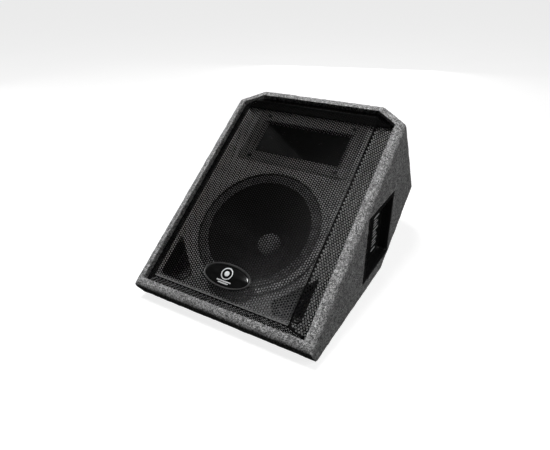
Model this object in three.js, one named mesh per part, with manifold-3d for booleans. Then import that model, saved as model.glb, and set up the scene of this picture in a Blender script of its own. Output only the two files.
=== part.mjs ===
// Stage monitor wedge: a two-way floor loudspeaker with a carpet-covered cabinet.
// Lengths are millimetres. The finished part stands on its feet, +Z up, its baffle facing -Y.
//
// Most pieces are drawn in the baffle's own frame: x to the right, y up the baffle and
// z out of it. A depth is a distance behind the cabinet's front plane, so it runs along -z.
import * as THREE from "three";
import { mergeVertices } from "three/addons/utils/BufferGeometryUtils.js";
import Module from "manifold-3d";

const wasm = await Module();
wasm.setup();

// ---------------------------------------------------------------- driving sizes

const gap = 0.3;                    // clearance left between touching pieces
const cabinetWidth = 440;
const cabinetLength = 583;          // up the baffle
const cabinetDepth = 260;           // square to the baffle
const toeDepth = 53;                // short face under the baffle's lower edge
const baffleAngle = 35;             // degrees between the baffle and the floor
const cornerRun = 62;               // cut top corners, across the cabinet
const cornerRise = 40;              // cut top corners, along its length
const wall = 21.5;                  // board and its carpet
const frontRounding = 18;
const footHeight = 6;

const baffleFront = 14;             // depth of the inner baffle's face
const baffleBack = 29;

const grilleFace = 14;              // how far the grille stands out of the front plane
const grilleEdgeDepth = 13;
const grilleSheet = 1.2;

const wooferHeight = 211;           // up the baffle, to the driver's axis
const hornHeight = 445.7;
const badgeHeight = 82;

const dishSize = 165;               // connector dish, in the cabinet's right side
const dishDepth = 22;

const angle = THREE.MathUtils.degToRad(baffleAngle);
const halfWidth = cabinetWidth / 2;
const floorBackHeight = (cabinetDepth - toeDepth) / Math.tan(angle);
const rearReach = cabinetLength * Math.cos(angle) + (cabinetDepth - toeDepth) * Math.sin(angle);
const roundingBack = frontRounding * Math.cos(angle) + (frontRounding - toeDepth) * Math.sin(angle);
const frontReach = roundingBack - frontRounding;
const middleBack = (frontReach + rearReach) / 2;

// ---------------------------------------------------------------- finishes

function finish(color, roughness, metalness) {
  return new THREE.MeshStandardMaterial({ color, roughness, metalness });
}

const carpet = finish(0x55565a, 1.0, 0.0);
const board = finish(0xb08a5a, 0.8, 0.0);
const blackPlastic = finish(0x17181a, 0.5, 0.0);
const blackMetal = finish(0x1b1c1f, 0.45, 0.6);
const glossBlack = finish(0x0b0b0c, 0.15, 0.1);
const paper = finish(0x202124, 0.9, 0.0);
const cloth = finish(0x2a2b2e, 0.9, 0.0);
const rubber = finish(0x111112, 0.9, 0.0);
const foam = finish(0x0c0c0d, 1.0, 0.0);
const steel = finish(0x9a9da1, 0.35, 0.9);
const ferrite = finish(0x3a3b3e, 0.7, 0.2);
const copper = finish(0xa8622f, 0.4, 0.7);
const circuitBoard = finish(0x2d5a3a, 0.6, 0.0);
const greyPlastic = finish(0x6a6c70, 0.5, 0.0);

// ---------------------------------------------------------------- solids

function solid(geometry) {
  const bare = new THREE.BufferGeometry();
  const flat = geometry.index ? geometry : mergeVertices(geometry);
  bare.setAttribute("position", flat.getAttribute("position").clone());
  bare.setIndex(flat.index.clone());
  const welded = mergeVertices(bare, 1e-4);
  const triangles = [];
  const index = welded.index.array;
  for (let i = 0; i < index.length; i += 3) {
    const [a, b, c] = [index[i], index[i + 1], index[i + 2]];
    if (a !== b && b !== c && c !== a) {
      triangles.push(a, b, c);
    }
  }
  return new wasm.Manifold(new wasm.Mesh({
    numProp: 3,
    vertProperties: new Float32Array(welded.getAttribute("position").array),
    triVerts: new Uint32Array(triangles),
  }));
}

function cut(body, ...tools) {
  return tools.reduce((rest, tool) => rest.subtract(tool), body);
}

function join(body, ...others) {
  return others.reduce((sum, other) => sum.add(other), body);
}

function common(body, ...others) {
  return others.reduce((rest, other) => rest.intersect(other), body);
}

function shapeOf(points) {
  return new THREE.Shape(points.map(([x, y]) => new THREE.Vector2(x, y)));
}

// A flat outline given thickness between two depths behind the front plane.
function plate(shape, frontDepth, backDepth) {
  const geometry = new THREE.ExtrudeGeometry(shape, {
    depth: backDepth - frontDepth,
    bevelEnabled: false,
    curveSegments: 10,
  });
  geometry.translate(0, 0, -backDepth);
  return solid(geometry);
}

// An outline in (depth, height up the baffle), carried across the cabinet.
function crossPrism(points, fromX, toX) {
  const geometry = new THREE.ExtrudeGeometry(shapeOf(points), {
    depth: toX - fromX,
    bevelEnabled: false,
  });
  geometry.rotateY(Math.PI / 2);
  geometry.translate(fromX, 0, 0);
  return solid(geometry);
}

function block(width, height, depth, x, y, z) {
  const geometry = new THREE.BoxGeometry(width, height, depth);
  geometry.translate(x, y, z);
  return solid(geometry);
}

// A turned piece on an axis square to the baffle. The profile is (radius, depth) pairs.
function turned(profile, x, y, segments = 36) {
  const points = profile.map(([radius, depth]) => new THREE.Vector2(radius, -depth));
  const closed = profile[0][0] > 0 || profile[profile.length - 1][0] > 0;
  if (closed) {
    points.push(points[0].clone());
  }
  const geometry = new THREE.LatheGeometry(points, segments);
  geometry.rotateX(Math.PI / 2);
  geometry.translate(x, y, 0);
  const body = solid(geometry);
  return body.volume() > 0 ? body : flipped(geometry);
}

function flipped(geometry) {
  const index = geometry.index.array;
  for (let i = 0; i < index.length; i += 3) {
    [index[i + 1], index[i + 2]] = [index[i + 2], index[i + 1]];
  }
  return solid(geometry);
}

// A skin drawn through matching rings of corners, closed at both ends.
function loft(rings) {
  const count = rings[0].length;
  const positions = rings.flat(2);
  const index = [];
  for (let ring = 0; ring < rings.length - 1; ring += 1) {
    for (let i = 0; i < count; i += 1) {
      const a = ring * count + i;
      const b = ring * count + (i + 1) % count;
      index.push(a, b, b + count, a, b + count, a + count);
    }
  }
  const last = (rings.length - 1) * count;
  for (let i = 1; i < count - 1; i += 1) {
    index.push(0, i + 1, i);
    index.push(last, last + i, last + i + 1);
  }
  const geometry = new THREE.BufferGeometry();
  geometry.setAttribute("position", new THREE.Float32BufferAttribute(positions, 3));
  geometry.setIndex(index);
  const body = solid(geometry);
  return body.volume() > 0 ? body : flipped(geometry);
}

// ---------------------------------------------------------------- outlines

// Moves every edge of a counter-clockwise outline inwards by the same distance.
function inset(points, distance) {
  const count = points.length;
  const lines = points.map(([x, y], i) => {
    const [nx, ny] = points[(i + 1) % count];
    const length = Math.hypot(nx - x, ny - y);
    const inward = [-(ny - y) / length, (nx - x) / length];
    return {
      point: [x + inward[0] * distance, y + inward[1] * distance],
      along: [(nx - x) / length, (ny - y) / length],
    };
  });
  return lines.map((line, i) => {
    const before = lines[(i + count - 1) % count];
    const dx = line.point[0] - before.point[0];
    const dy = line.point[1] - before.point[1];
    const cross = before.along[0] * line.along[1] - before.along[1] * line.along[0];
    const t = (dx * line.along[1] - dy * line.along[0]) / cross;
    return [before.point[0] + before.along[0] * t, before.point[1] + before.along[1] * t];
  });
}

function roundedPolygon(points, radius) {
  const shape = new THREE.Shape();
  points.forEach((corner, i) => {
    const before = points[(i + points.length - 1) % points.length];
    const after = points[(i + 1) % points.length];
    const start = towards(corner, before, radius);
    const end = towards(corner, after, radius);
    if (i === 0) {
      shape.moveTo(start[0], start[1]);
    } else {
      shape.lineTo(start[0], start[1]);
    }
    shape.quadraticCurveTo(corner[0], corner[1], end[0], end[1]);
  });
  shape.closePath();
  return shape;
}

function towards(from, to, distance) {
  const length = Math.hypot(to[0] - from[0], to[1] - from[1]);
  return [
    from[0] + (to[0] - from[0]) * distance / length,
    from[1] + (to[1] - from[1]) * distance / length,
  ];
}

function mirrored(points) {
  return points.map(([x, y]) => [-x, y]).reverse();
}

function rectangle(halfX, lowY, highY) {
  return [[-halfX, lowY], [halfX, lowY], [halfX, highY], [-halfX, highY]];
}

const frontOutline = [
  [halfWidth, 0],
  [halfWidth, cabinetLength - cornerRise],
  [halfWidth - cornerRun, cabinetLength],
  [cornerRun - halfWidth, cabinetLength],
  [-halfWidth, cabinetLength - cornerRise],
  [-halfWidth, 0],
];
const openingOutline = inset(frontOutline, wall);

// ---------------------------------------------------------------- the assembly

const model = new THREE.Group();
model.name = "stage_monitor_wedge";

const baffleToRow = new THREE.Matrix4()
  .makeRotationX(angle)
  .setPosition(
    0,
    -toeDepth * Math.sin(angle) - middleBack,
    toeDepth * Math.cos(angle) + footHeight,
  );

function add(name, body, material, inRowFrame = false) {
  const mesh = body.getMesh();
  const geometry = new THREE.BufferGeometry();
  geometry.setAttribute("position", new THREE.BufferAttribute(mesh.vertProperties, 3));
  geometry.setIndex(new THREE.BufferAttribute(mesh.triVerts, 1));
  if (!inRowFrame) {
    geometry.applyMatrix4(baffleToRow);
  }
  const flat = geometry.toNonIndexed();
  flat.computeVertexNormals();
  const piece = new THREE.Mesh(flat, material);
  piece.name = name;
  model.add(piece);
}

// ---------------------------------------------------------------- cabinet boards

// The outside of the cabinet: rounded front edges, square back, cut off along the floor.
function cabinetBlock() {
  const shape = shapeOf(frontOutline);
  const reach = cabinetDepth + 60;
  const geometry = new THREE.ExtrudeGeometry(shape, {
    depth: reach,
    bevelEnabled: true,
    bevelThickness: frontRounding,
    bevelSize: frontRounding,
    bevelOffset: -frontRounding,
    bevelSegments: 6,
  });
  geometry.translate(0, 0, -reach - frontRounding);
  const low = -10;
  const side = crossPrism([
    [low, low],
    [toeDepth + low * Math.tan(angle), low],
    [cabinetDepth, floorBackHeight],
    [cabinetDepth, cabinetLength + 10],
    [low, cabinetLength + 10],
  ], -halfWidth - 10, halfWidth + 10);
  return common(solid(geometry), side);
}

const cabinet = cabinetBlock();
const edgeCount = frontOutline.length;

// A board that runs the cabinet's whole depth along one edge of its front outline.
function edgeBoard(edge) {
  const next = (edge + 1) % edgeCount;
  const corners = [
    frontOutline[edge],
    frontOutline[next],
    openingOutline[next],
    openingOutline[edge],
  ];
  if (edge === 0) {
    corners[3] = [openingOutline[0][0], 0];
  }
  if (edge === 4) {
    corners[2] = [openingOutline[5][0], 0];
  }
  return common(cabinet, plate(shapeOf(inset(corners, gap / 2)), -1, cabinetDepth + 1));
}

const innerFloorStart = toeDepth - wall / Math.cos(angle);
const innerBack = cabinetDepth - wall;
const toeCorner = [innerFloorStart + wall * Math.tan(angle), wall];
const rearCorner = [innerBack, (innerBack - innerFloorStart) / Math.tan(angle)];
const betweenSides = openingOutline[0][0] - gap / 2;

function crossBoard(points) {
  return common(
    cabinet,
    crossPrism(inset(points, gap / 2), -betweenSides, betweenSides),
  );
}

const dishCentre = {
  y: 311 - middleBack,
  z: 115 + footHeight,
};

// A square block let into the right side, from its face to a stated depth.
function sideBlock(size, fromDepth, toDepth, y = 0, z = 0, height = size) {
  return block(
    toDepth - fromDepth,
    size,
    height,
    halfWidth - (fromDepth + toDepth) / 2,
    dishCentre.y + y,
    dishCentre.z + z,
  );
}

function intoBaffleFrame(body) {
  const inverse = baffleToRow.clone().invert();
  return body.transform(inverse.toArray());
}

const dishFlange = 2.5;
const panOutside = dishSize - 20;
const rightSide = cut(
  edgeBoard(0),
  intoBaffleFrame(sideBlock(dishSize + 2 * gap, -1, dishFlange + gap)),
  intoBaffleFrame(sideBlock(panOutside + 2 * gap, -1, wall + 5)),
);

add("right_side_panel", rightSide, carpet);
add("left_side_panel", edgeBoard(4), carpet);
add("top_panel", edgeBoard(2), carpet);
add("right_corner_panel", edgeBoard(1), carpet);
add("left_corner_panel", edgeBoard(3), carpet);
add("toe_panel", crossBoard([
  [-1, 0],
  [toeDepth, 0],
  toeCorner,
  [-1, wall],
]), carpet);
add("floor_panel", crossBoard([
  [toeDepth, 0],
  [cabinetDepth, floorBackHeight],
  rearCorner,
  toeCorner,
]), carpet);
add("back_panel", common(
  crossBoard([
    [cabinetDepth, floorBackHeight],
    [cabinetDepth, cabinetLength],
    [innerBack, cabinetLength],
    rearCorner,
  ]),
  plate(shapeOf(inset(openingOutline, gap / 2)), 0, cabinetDepth + 1),
), carpet);

// ---------------------------------------------------------------- baffle and its battens

const portCorners = [[171, 49.5], [171, 140], [101, 68], [114, 49.5]];

function portPlate(side, grow, frontDepth, backDepth) {
  const corners = inset(portCorners, -grow);
  const placed = side > 0 ? corners : mirrored(corners);
  return plate(roundedPolygon(placed, 9), frontDepth, backDepth);
}

const basketWall = 142.5;
const hornHole = rectangle(123, hornHeight - 52, hornHeight + 52);
add("front_baffle", cut(
  plate(shapeOf(inset(openingOutline, 0.5)), baffleFront, baffleBack),
  turned([[0, 5], [basketWall + 1, 5], [basketWall + 1, 40], [0, 40]], 0, wooferHeight),
  plate(shapeOf(hornHole), 5, 40),
  portPlate(1, 2.8, 5, 40),
  portPlate(-1, 2.8, 5, 40),
), blackPlastic);

const battenFront = baffleBack + gap;
function batten(lowX, highX, lowY, highY, thickness) {
  const corners = [[lowX, lowY], [highX, lowY], [highX, highY], [lowX, highY]];
  return plate(shapeOf(corners), battenFront, battenFront + thickness);
}

// A foam strip glued along the baffle's top edge, clear of the grille's sloping sides.
const foamFront = 8;
const foamLowEdge = 526.5;
const foamInset = 10;
add("foam_strip", common(
  plate(shapeOf(inset(openingOutline, foamInset)), foamFront, baffleFront - gap),
  plate(shapeOf(rectangle(halfWidth, foamLowEdge, cabinetLength)), 0, baffleBack),
), foam);

add("right_batten", batten(179, 198, 48, 270, 18), board);
add("left_batten", batten(-198, -179, 48, 270, 18), board);
add("top_batten", batten(-125, 125, 542, 561, 18), board);
add("bottom_batten", batten(-175, 175, 24.5, 42.5, 12), board);

for (const [side, name] of [[1, "right_port_duct"], [-1, "left_port_duct"]]) {
  add(name, cut(
    portPlate(side, 2.5, 12.5, 46),
    portPlate(side, 0, 5, 60),
  ), blackPlastic);
}

// ---------------------------------------------------------------- grille and badge

const grilleBase = inset(openingOutline, 0.8);
const grilleTop = [
  [164, 31.5],
  [164, 524],
  [157, 530],
  [-157, 530],
  [-164, 524],
  [-164, 31.5],
];

function tray(shrink, lift) {
  const base = inset(grilleBase, shrink);
  const top = inset(grilleTop, shrink * 0.6);
  return loft([
    base.map(([x, y]) => [x, y, -grilleEdgeDepth - lift]),
    top.map(([x, y]) => [x, y, grilleFace - lift]),
  ]);
}

add("front_grille", cut(tray(0, 0), tray(1.6, grilleSheet)), blackMetal);

function domedOval(halfLength, halfHeight, thickness) {
  const profile = [
    [0, 0],
    [1, 0],
    [1, 0.5],
    [0.97, 0.8],
    [0.9, 1],
    [0.84, 0.86],
    [0.55, 1.05],
    [0, 1.2],
  ];
  const points = profile.map(([r, h]) => new THREE.Vector2(r, h * thickness));
  const geometry = new THREE.LatheGeometry(points, 48);
  geometry.rotateX(Math.PI / 2);
  geometry.scale(halfLength, halfHeight, 1);
  geometry.translate(0, badgeHeight, grilleFace + gap);
  const body = solid(geometry);
  return body.volume() > 0 ? body : flipped(geometry);
}

add("badge", domedOval(56.5, 27, 4), glossBlack);

// ---------------------------------------------------------------- woofer

function wooferPart(profile, segments = 44) {
  return turned(profile, 0, wooferHeight, segments);
}

function basket() {
  const frame = wooferPart([
    [154, 10],
    [154, 13.7],
    [basketWall, 13.7],
    [basketWall, 22],
    [74, 99],
    [70, 107],
    [38, 107],
    [38, 104],
    [68, 104],
    [71.5, 97],
    [139.5, 21],
    [139.5, 10],
  ]);
  const windows = [0, 60, 120].map((turn) => {
    const opening = new THREE.BoxGeometry(330, 58, 56);
    opening.rotateZ(THREE.MathUtils.degToRad(turn + 30));
    opening.translate(0, wooferHeight, -62);
    return solid(opening);
  });
  return cut(frame, ...windows);
}

// A thin wavy ring: radii from inner to outer, its crests along the driver's axis.
function pleatedRing(inner, outer, depth, height, waves, sheet) {
  const steps = waves * 4;
  const front = [];
  const back = [];
  for (let i = 0; i <= steps; i += 1) {
    const radius = inner + (outer - inner) * i / steps;
    const swell = Math.sin(i / steps * waves * 2 * Math.PI) * height / 2;
    front.push([radius, depth - swell]);
    back.push([radius, depth - swell + sheet]);
  }
  return wooferPart([...front, ...back.reverse()]);
}

const coneRim = 117.7;
const coneNeck = 28;
const coneRimDepth = 13.5;
const coneNeckDepth = 92;

function cone() {
  const front = [];
  const steps = 8;
  for (let i = 0; i <= steps; i += 1) {
    const t = i / steps;
    const bow = Math.sin(t * Math.PI) * 5;
    const radius = coneRim + (coneNeck - coneRim) * t;
    front.push([radius, coneRimDepth + (coneNeckDepth - coneRimDepth) * t - bow]);
  }
  const back = front.map(([radius, depth]) => [radius, depth + 1.6]).reverse();
  return wooferPart([...front, ...back]);
}

function dustCap() {
  const front = [];
  const steps = 6;
  for (let i = 0; i <= steps; i += 1) {
    const radius = (coneNeck - 0.6) * Math.cos(i / steps * Math.PI / 2);
    front.push([i === steps ? 0 : radius, 89.2 - Math.sin(i / steps * Math.PI / 2) * 11]);
  }
  const back = front.map(([radius, depth]) => [Math.max(radius - 1, 0), depth + 1]);
  back[0] = [coneNeck - 1.6, 89.2];
  return wooferPart([...back.slice(0, -1), [0, 79.2], [0, 78.2], ...front.slice(0, -1).reverse()]);
}

add("woofer_basket", basket(), blackMetal);
add("woofer_gasket", wooferPart([
  [153.6, 6.8],
  [153.6, 9.7],
  [140.6, 9.7],
  [140.6, 6.8],
]), rubber);
add("woofer_surround", pleatedRing(118, 139.2, 12.2, 4, 3, 1), cloth);
add("woofer_cone", cone(), paper);
add("dust_cap", dustCap(), paper);
add("voice_coil_former", wooferPart([
  [25.6, 94.6],
  [26.5, 94.6],
  [26.5, 119.5],
  [25.6, 119.5],
]), greyPlastic);
add("voice_coil_winding", wooferPart([
  [26.8, 104.5],
  [27.5, 104.5],
  [27.5, 117.5],
  [26.8, 117.5],
]), copper);
add("spider", pleatedRing(27.2, 66, 99.5, 3, 5, 0.8), cloth);
add("woofer_front_plate", wooferPart([
  [53, 107.3],
  [53, 113.3],
  [28.2, 113.3],
  [28.2, 107.3],
]), steel);
add("woofer_magnet", wooferPart([
  [52, 113.6],
  [52, 125],
  [34, 125],
  [34, 113.6],
]), ferrite);
add("woofer_back_plate", wooferPart([
  [0, 108],
  [24.9, 108],
  [24.9, 125.3],
  [54, 125.3],
  [54, 132.8],
  [0, 132.8],
]), steel);
add("woofer_terminal", block(30, 8, 16, 0, wooferHeight + 91.5, -93.2), blackPlastic);

// ---------------------------------------------------------------- horn and its driver

const hornFlangeFront = 10;
const mouth = { x: 116, y: 44.9 };
const beadWidth = 4;
const beadRise = 1.8;

// Rings of the horn's bore: half width, half height, depth.
const bore = [
  [mouth.x, mouth.y, hornFlangeFront - 0.01],
  [96, 38, 30],
  [66, 27, 60],
  [32, 17, 92],
  [13, 13, 112],
];

function hornRing(halfX, halfY, depth) {
  return rectangle(halfX, hornHeight - halfY, hornHeight + halfY)
    .map(([x, y]) => [x, y, -depth]);
}

function hornFlare() {
  const inside = bore.map(([x, y, depth]) => hornRing(x, y, depth));
  inside.unshift(hornRing(mouth.x, mouth.y, 5));
  inside.push(hornRing(13, 13, 130));
  const outside = bore.map(([x, y, depth]) => hornRing(x + 3, y + 3, depth));
  const flange = plate(
    roundedPolygon(rectangle(141, hornHeight - 72.2, hornHeight + 72.2), 8),
    hornFlangeFront,
    baffleFront - gap,
  );
  const beadHalfHeight = mouth.y + beadWidth;
  const bead = plate(
    shapeOf(rectangle(
      mouth.x + beadWidth,
      hornHeight - beadHalfHeight,
      hornHeight + beadHalfHeight,
    )),
    hornFlangeFront - beadRise,
    (hornFlangeFront + baffleFront) / 2,
  );
  const throat = turned([[0, 106], [24, 106], [24, 112], [0, 112]], 0, hornHeight, 40);
  return cut(join(flange, bead, loft(outside), throat), loft(inside));
}

const screwAcross = 111.5;
const screwUp = 60.7;
const hornScrews = [
  ["lower_right", screwAcross, -screwUp],
  ["upper_right", screwAcross, screwUp],
  ["upper_left", -screwAcross, screwUp],
  ["lower_left", -screwAcross, -screwUp],
];

function screwClearance(x, y) {
  return turned([[0, 5], [2.6, 5], [2.6, 40], [0, 40]], x, y, 16);
}

add("horn_flare", cut(
  hornFlare(),
  ...hornScrews.map(([, x, y]) => screwClearance(x, hornHeight + y)),
), blackPlastic);

for (const [place, x, y] of hornScrews) {
  add(`horn_screw_${place}`, turned([
    [0, 7.2],
    [3, 7.4],
    [4.6, 8.6],
    [4.6, hornFlangeFront - gap],
    [2, hornFlangeFront - gap],
    [2, 13.6],
    [0, 13.6],
  ], x, hornHeight + y, 16), steel);
}

function driverPart(profile) {
  return turned(profile, 0, hornHeight, 36);
}

add("hf_throat_plate", driverPart([
  [46, 112.3],
  [46, 119],
  [13.5, 119],
  [13, 112.3],
]), blackMetal);
add("hf_magnet", driverPart([
  [52, 119.3],
  [52, 135],
  [28, 135],
  [28, 119.3],
]), ferrite);
add("hf_back_plate", driverPart([
  [46, 135.3],
  [46, 142],
  [13, 142],
  [13, 135.3],
]), steel);
add("hf_diaphragm", driverPart([
  [0, 151],
  [12, 149.5],
  [20, 145],
  [23, 142.3],
  [24, 142.3],
  [21, 146],
  [12.5, 150.6],
  [0, 152.1],
]), greyPlastic);
add("hf_cover", driverPart([
  [45, 142.3],
  [45, 158],
  [40, 162],
  [0, 162],
  [0, 160],
  [39, 160],
  [43, 157],
  [43, 142.3],
]), blackPlastic);

// ---------------------------------------------------------------- crossover, on the back board

const crossoverHeight = 455;
const crossoverDepth = innerBack - gap;

function crossoverPart(width, height, lowDepth, highDepth, x, y) {
  const middle = (lowDepth + highDepth) / 2;
  return block(width, height, highDepth - lowDepth, x, crossoverHeight + y, -middle);
}

const boardFace = crossoverDepth - 1.6;
add("crossover_board", crossoverPart(170, 110, boardFace, crossoverDepth, 0, 0), circuitBoard);

function inductor(x, y, outer) {
  const near = boardFace - gap;
  return turned([
    [outer, near - 24],
    [outer, near],
    [outer * 0.45, near],
    [outer * 0.45, near - 24],
  ], x, crossoverHeight + y, 32);
}

add("woofer_inductor", inductor(-48, 12, 26), copper);
add("hf_inductor", inductor(52, 24, 17), copper);

function capacitor(radius, length, x, y) {
  const geometry = new THREE.CylinderGeometry(radius, radius, length, 24);
  geometry.rotateZ(Math.PI / 2);
  geometry.translate(x, crossoverHeight + y, radius - boardFace + gap);
  return solid(geometry);
}

add("large_capacitor", capacitor(12, 46, 46, -14), greyPlastic);
add("small_capacitor", capacitor(9, 36, 46, -40), greyPlastic);
add("crossover_resistor", crossoverPart(48, 10, boardFace - gap - 10, boardFace - gap, -44, -38),
  greyPlastic);

// ---------------------------------------------------------------- connector dish

const panWall = 2;
const panInside = panOutside - 2 * panWall;
const plateSize = panInside - 2 * gap;
const plateFront = dishDepth - 1.8;
const sockets = [["input_socket", 26], ["link_socket", -26]];
const socketOffset = -32;

function sideCylinder(radius, fromDepth, toDepth, y, z, segments = 32) {
  const geometry = new THREE.CylinderGeometry(radius, radius, toDepth - fromDepth, segments);
  geometry.rotateZ(Math.PI / 2);
  geometry.translate(halfWidth - (fromDepth + toDepth) / 2, dishCentre.y + y, dishCentre.z + z);
  return solid(geometry);
}

const dishScrewReach = dishSize / 2 - 5;
const dishCorners = [
  ["lower_front", -dishScrewReach, -dishScrewReach],
  ["upper_front", -dishScrewReach, dishScrewReach],
  ["upper_rear", dishScrewReach, dishScrewReach],
  ["lower_rear", dishScrewReach, -dishScrewReach],
];

// Countersunk, its flat top flush with the dish's flange.
function countersunk(y, z, grow) {
  const profile = [
    [0, -grow],
    [3.6 + grow, -grow],
    [3.6 + grow, 0.3],
    [1.6 + grow, 2 + grow],
    [1.6 + grow, dishFlange + 0.1 + grow * 2],
    [0, dishFlange + 0.1 + grow * 2],
  ];
  const geometry = new THREE.LatheGeometry(
    profile.map(([r, depth]) => new THREE.Vector2(r, -depth)),
    20,
  );
  geometry.rotateZ(-Math.PI / 2);
  geometry.translate(halfWidth, dishCentre.y + y, dishCentre.z + z);
  const body = solid(geometry);
  return body.volume() > 0 ? body : flipped(geometry);
}

const dish = cut(
  join(
    sideBlock(dishSize, 0, dishFlange),
    sideBlock(panOutside, 0, dishDepth + panWall),
  ),
  sideBlock(panInside, -1, dishDepth),
  ...sockets.map(([, z]) => sideCylinder(13.2, 5, dishDepth + 10, socketOffset, z)),
  ...dishCorners.map(([, y, z]) => countersunk(y, z, gap)),
);
add("connector_dish", dish, blackPlastic, true);

add("connector_plate", cut(
  sideBlock(plateSize, plateFront, dishDepth - gap),
  ...sockets.map(([, z]) => sideCylinder(13.2, 5, dishDepth + 10, socketOffset, z)),
), blackMetal, true);

for (const [name, z] of sockets) {
  add(name, cut(
    join(
      sideBlock(28, plateFront - 2.3, plateFront - gap, socketOffset, z, 32),
      sideCylinder(12.8, plateFront - 1, dishDepth + 22, socketOffset, z),
    ),
    cut(
      sideCylinder(10.6, plateFront - 5, dishDepth + 14, socketOffset, z),
      sideCylinder(4.5, plateFront - 1, dishDepth + 20, socketOffset, z),
    ),
  ), blackPlastic, true);
}

for (const [place, y, z] of dishCorners) {
  add(`dish_screw_${place}`, countersunk(y, z, 0), steel, true);
}

// ---------------------------------------------------------------- feet

const footAcross = 172;
const footRows = [["front", 36], ["rear", 334]];
for (const [row, back] of footRows) {
  for (const [side, name] of [[1, "right"], [-1, "left"]]) {
    const geometry = new THREE.CylinderGeometry(18, 16, footHeight - gap, 32);
    geometry.rotateX(Math.PI / 2);
    geometry.translate(
      side * footAcross,
      back - middleBack,
      (footHeight - gap) / 2,
    );
    add(`foot_${row}_${name}`, solid(geometry), rubber, true);
  }
}

export default model;
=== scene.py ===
"""Looks for a stage monitor wedge: carpeted cabinet, perforated grille, woofer, horn, connector dish.

Most pieces are drawn in the baffle's own frame, in millimetres: u to the right, v up the baffle
and n out of it, measured from the cabinet's front plane. A depth is -n.
"""
import math

import bmesh
import bpy
import numpy as np
from mathutils import Matrix, Vector, noise
from mathutils.geometry import tessellate_polygon


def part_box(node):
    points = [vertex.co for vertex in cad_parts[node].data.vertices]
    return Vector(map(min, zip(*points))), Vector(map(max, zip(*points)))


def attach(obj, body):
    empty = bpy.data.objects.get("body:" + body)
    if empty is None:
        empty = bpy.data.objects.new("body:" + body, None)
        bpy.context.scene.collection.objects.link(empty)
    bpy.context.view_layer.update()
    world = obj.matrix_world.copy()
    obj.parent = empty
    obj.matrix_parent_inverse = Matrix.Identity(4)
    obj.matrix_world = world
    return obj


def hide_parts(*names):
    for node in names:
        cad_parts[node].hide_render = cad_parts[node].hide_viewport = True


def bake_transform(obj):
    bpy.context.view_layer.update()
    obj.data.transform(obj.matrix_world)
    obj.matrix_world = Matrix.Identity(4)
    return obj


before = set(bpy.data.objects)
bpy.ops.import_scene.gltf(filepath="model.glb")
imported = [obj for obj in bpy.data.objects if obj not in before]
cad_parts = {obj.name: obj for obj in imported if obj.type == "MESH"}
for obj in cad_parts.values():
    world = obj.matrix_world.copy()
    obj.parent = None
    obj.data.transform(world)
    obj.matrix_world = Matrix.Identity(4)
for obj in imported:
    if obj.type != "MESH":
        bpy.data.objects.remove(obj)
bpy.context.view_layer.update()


def add_object(name, data):
    item = bpy.data.objects.new(name, data)
    bpy.context.scene.collection.objects.link(item)
    return item


# -------- sizes, in millimetres

BAFFLE_ANGLE = math.radians(35)
TOE_DEPTH = 53
FOOT_HEIGHT = 6
HALF_WIDTH = 220
LENGTH = 583
DEPTH = 260
CORNER_RUN = 62
CORNER_RISE = 40
WALL = 21.5
FRONT_ROUNDING = 18

WOOFER_HEIGHT = 211
HORN_HEIGHT = 445.7
BADGE_HEIGHT = 82

CABINET = "cabinet"
CONE = "cone_assembly"

# The toe's lower edge is FOOT_HEIGHT above the floor and MIDDLE_BACK in front of the row's middle.
MIDDLE_BACK = 286.48
TO_ROW = Matrix.Translation((
    0,
    (-TOE_DEPTH * math.sin(BAFFLE_ANGLE) - MIDDLE_BACK) / 1000,
    (TOE_DEPTH * math.cos(BAFFLE_ANGLE) + FOOT_HEIGHT) / 1000,
)) @ Matrix.Rotation(BAFFLE_ANGLE, 4, "X")

dish_low, dish_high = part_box("connector_dish")
DISH_Y = (dish_low.y + dish_high.y) / 2 * 1000
DISH_Z = (dish_low.z + dish_high.z) / 2 * 1000

# -------- camera

camera = add_object("camera", bpy.data.cameras.new("camera"))
camera.data.lens = 30.6
camera.data.clip_start = 0.05
CAMERA_PLACE = (0.478, -0.880, 0.656)
CAMERA_AZIMUTH = 30.4               # degrees from the front, towards the cabinet's right
CAMERA_ELEVATION = 28.9             # degrees looking down
CAMERA_ROLL = -0.2
camera.matrix_world = (
    Matrix.Translation(CAMERA_PLACE)
    @ Matrix.Rotation(math.radians(CAMERA_AZIMUTH), 4, "Z")
    @ Matrix.Rotation(math.radians(90 - CAMERA_ELEVATION), 4, "X")
    @ Matrix.Rotation(math.radians(CAMERA_ROLL), 4, "Z")
)
bpy.context.scene.camera = camera


# -------- material helpers

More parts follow.
